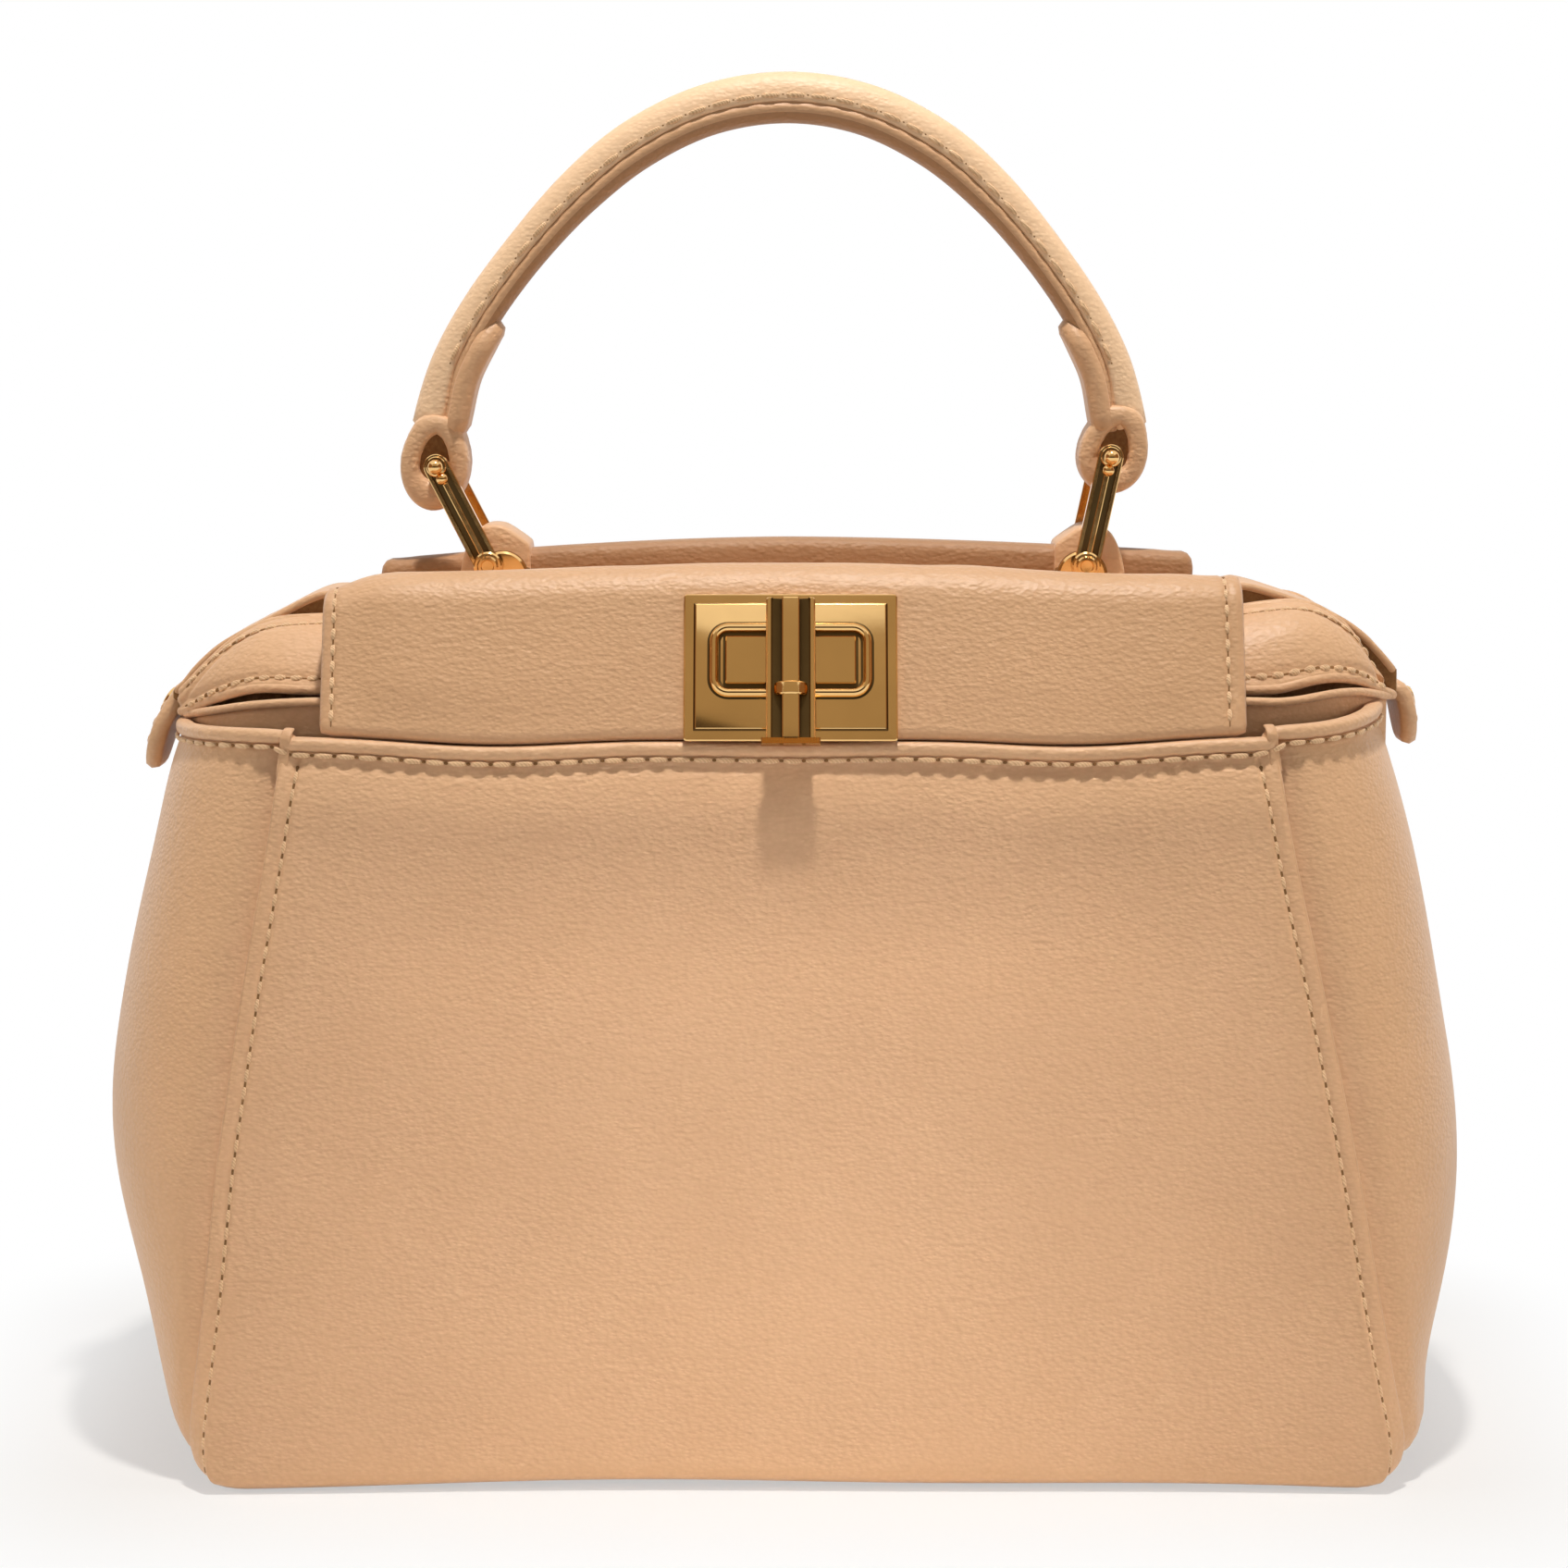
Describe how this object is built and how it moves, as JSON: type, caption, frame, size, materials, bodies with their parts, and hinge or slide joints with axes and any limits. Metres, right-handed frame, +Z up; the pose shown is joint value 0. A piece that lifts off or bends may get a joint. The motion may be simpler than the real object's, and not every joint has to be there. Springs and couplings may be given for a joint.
{
  "type": "top handle bag",
  "caption": "Structured leather bag with a divider and padded spine, a turn-lock flap each side and an arched handle on metal links.",
  "frame": {"origin": "centre of the bounding box at the floor", "axes": "+X to the right of someone facing the front, +Y to the back, +Z up; the front looks towards -Y"},
  "size_m": [0.2582, 0.1014, 0.2543],
  "materials": {
    "leather": "smooth, soft sheen",
    "leather_edge": "smooth, rolled",
    "board": "bonded fibre board, covered",
    "lining": "suede",
    "cord": "twisted",
    "steel": "satin",
    "gold": "polished"
  },
  "bodies": {
    "bag": {"base_panel": "leather", "front_panel": "leather", "back_panel": "leather", "left_gusset": "leather", "right_gusset": "leather", "front_top_binding": "leather_edge", "back_top_binding": "leather_edge", "spine_cover": "leather_edge", "front_left_wing": "leather", "front_right_wing": "leather", "back_left_wing": "leather", "back_right_wing": "leather", "front_hinge_strip": "leather", "back_hinge_strip": "leather", "left_side_strap": "leather", "right_side_strap": "leather", "left_lug_tab": "leather_edge", "right_lug_tab": "leather_edge", "base_board": "board", "divider_board": "board", "front_lining": "lining", "back_lining": "lining", "spine_rod": "steel", "left_lug_saddle": "gold", "right_lug_saddle": "gold"},
    "left_tab": {"left_side_tab": "leather", "left_tab_stud": "gold"},
    "right_tab": {"right_side_tab": "leather", "right_tab_stud": "gold"},
    "left_link": {"left_link_plates": "gold", "left_upper_pin": "gold", "left_lower_screws": "gold"},
    "right_link": {"right_link_plates": "gold", "right_upper_pin": "gold", "right_lower_screws": "gold"},
    "handle": {"handle_core": "cord", "handle_cover": "leather", "left_handle_loop": "leather_edge", "right_handle_loop": "leather_edge", "left_loop_tail": "leather", "right_loop_tail": "leather"},
    "front_flap": {"front_flap": "leather", "front_lock_plate": "gold", "front_lock_backplate": "steel", "front_lock_screws": "steel"},
    "front_toggle": {"front_toggle": "gold", "front_toggle_post": "gold"},
    "back_flap": {"back_flap": "leather", "back_lock_plate": "gold", "back_lock_backplate": "steel", "back_lock_screws": "steel"},
    "back_toggle": {"back_toggle": "gold", "back_toggle_post": "gold"}
  },
  "joints": [
    {"name": "front_flap_lift", "type": "hinge", "parent": "bag", "child": "front_flap", "pos_m": [0, -0.012, 0.158], "axis": [-1, 0, 0], "range_deg": [0, 60]},
    {"name": "front_toggle_turn", "type": "hinge", "parent": "front_flap", "child": "front_toggle", "pos_m": [0, -0.03439, 0.14786], "axis": [0, -0.9397, 0.342], "range_deg": [0, 90]},
    {"name": "back_flap_lift", "type": "hinge", "parent": "bag", "child": "back_flap", "pos_m": [0, 0.012, 0.158], "axis": [1, 0, 0], "range_deg": [0, 60]},
    {"name": "back_toggle_turn", "type": "hinge", "parent": "back_flap", "child": "back_toggle", "pos_m": [0, 0.03439, 0.14786], "axis": [0, 0.9397, 0.342], "range_deg": [0, 90]},
    {"name": "left_link_swing", "type": "hinge", "parent": "bag", "child": "left_link", "pos_m": [-0.056, 0, 0.16337], "axis": [0, 1, 0], "range_deg": [-10, 20]},
    {"name": "handle_pivot", "type": "hinge", "parent": "left_link", "child": "handle", "pos_m": [-0.06544, 0, 0.18191], "axis": [0, 1, 0], "range_deg": [-17.9, 9]},
    {"name": "right_link_swing", "type": "hinge", "parent": "bag", "child": "right_link", "pos_m": [0.056, 0, 0.16337], "axis": [0, 1, 0], "range_deg": [-9.8, 19.5]},
    {"name": "left_tab_lift", "type": "hinge", "parent": "bag", "child": "left_tab", "pos_m": [-0.11382, 0, 0.13996], "axis": [0, 1, 0], "range_deg": [0, 60]},
    {"name": "right_tab_lift", "type": "hinge", "parent": "bag", "child": "right_tab", "pos_m": [0.11382, 0, 0.13996], "axis": [0, -1, 0], "range_deg": [0, 60]}
  ],
  "couplings": [
    {"joint": "handle_pivot", "follows": "left_link_swing", "ratio": -0.892},
    {"joint": "right_link_swing", "follows": "left_link_swing", "ratio": 0.972}
  ]
}
